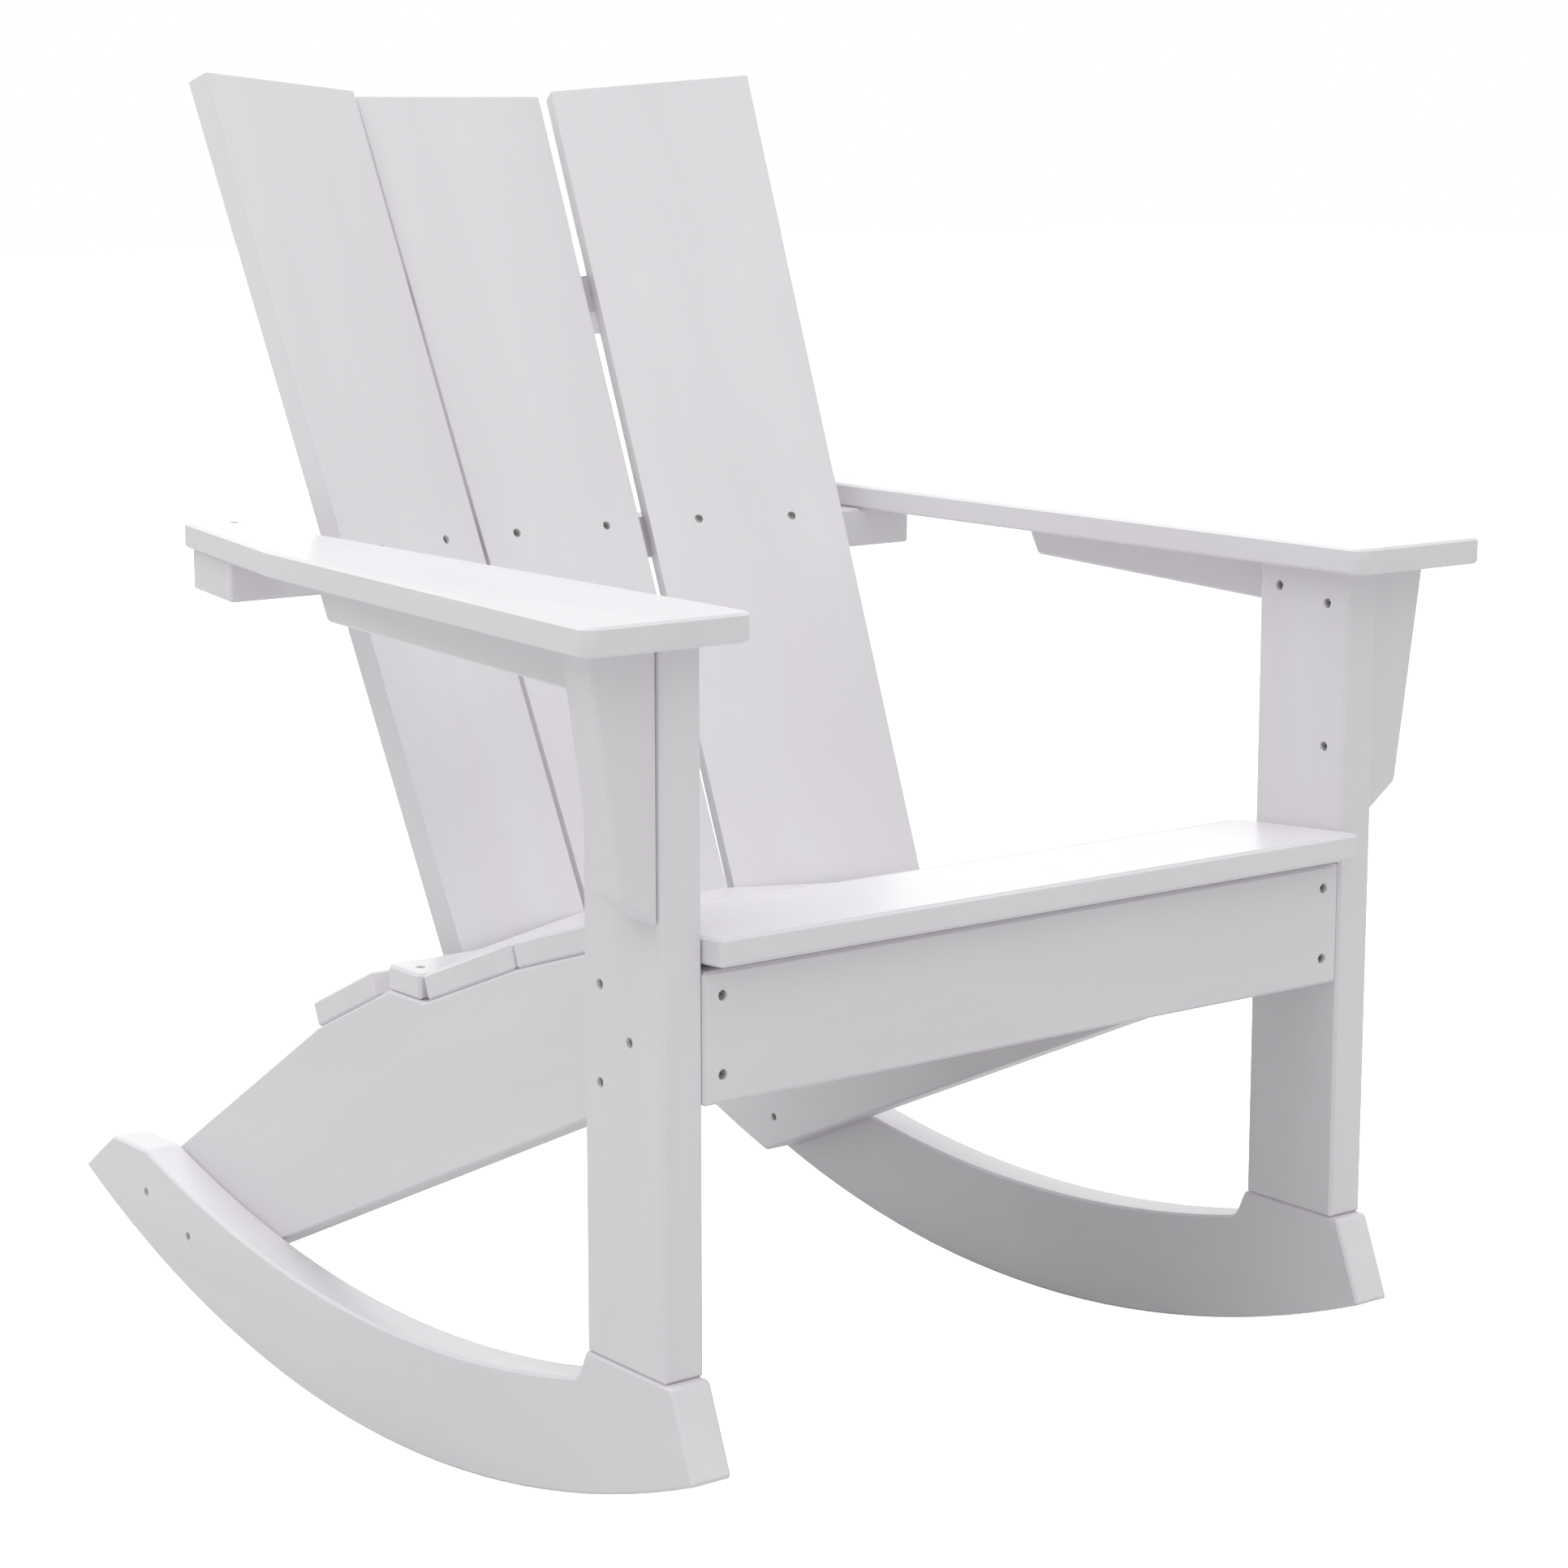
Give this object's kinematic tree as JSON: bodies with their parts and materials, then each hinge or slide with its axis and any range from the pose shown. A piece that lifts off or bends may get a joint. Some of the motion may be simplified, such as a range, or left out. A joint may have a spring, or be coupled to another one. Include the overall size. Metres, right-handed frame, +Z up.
{
  "type": "rocking adirondack chair",
  "caption": "Rocking lawn chair of white plastic lumber: wide flat arms, fanned reclining back of tapered boards, sloping slat seat and curved rockers.",
  "frame": {"origin": "on the floor, midway between the sides and midway between the foremost and rearmost points", "axes": "+Z up, -Y towards the front of the seat, +X towards the sitter's left"},
  "size_m": [0.7928, 0.8414, 0.9756],
  "materials": {
    "board_plastic": "solid white high-density polyethylene lumber, faintly grained, with rounded edges",
    "screw_steel": "stainless trim-head screws sunk in narrow bores"
  },
  "bodies": {
    "root": {"arm_cleat_left": "board_plastic", "arm_cleat_right": "board_plastic", "arm_corbel_left": "board_plastic", "arm_corbel_right": "board_plastic", "arm_left": "board_plastic", "arm_rail": "board_plastic", "arm_right": "board_plastic", "back_board_center": "board_plastic", "back_board_left": "board_plastic", "back_board_right": "board_plastic", "back_rail_lower": "board_plastic", "back_rail_upper": "board_plastic", "bolts_rocker_tail": "screw_steel", "leg_left": "board_plastic", "leg_right": "board_plastic", "rocker_left": "board_plastic", "rocker_right": "board_plastic", "screws_apron": "screw_steel", "screws_arm_rail": "screw_steel", "screws_back_arm_rail": "screw_steel", "screws_back_lower": "screw_steel", "screws_back_upper": "screw_steel", "screws_cleat_arm": "screw_steel", "screws_cleat_leg": "screw_steel", "screws_corbel_leg": "screw_steel", "screws_leg_stringer": "screw_steel", "screws_rail_lower": "screw_steel", "screws_rocker_leg": "screw_steel", "screws_seat_rail": "screw_steel", "screws_slat_front": "screw_steel", "screws_slats": "screw_steel", "seat_apron": "board_plastic", "seat_rail": "board_plastic", "seat_slat_front": "board_plastic", "seat_slat_middle": "board_plastic", "seat_slat_rear": "board_plastic", "stringer_left": "board_plastic", "stringer_right": "board_plastic"}
  },
  "joints": []
}
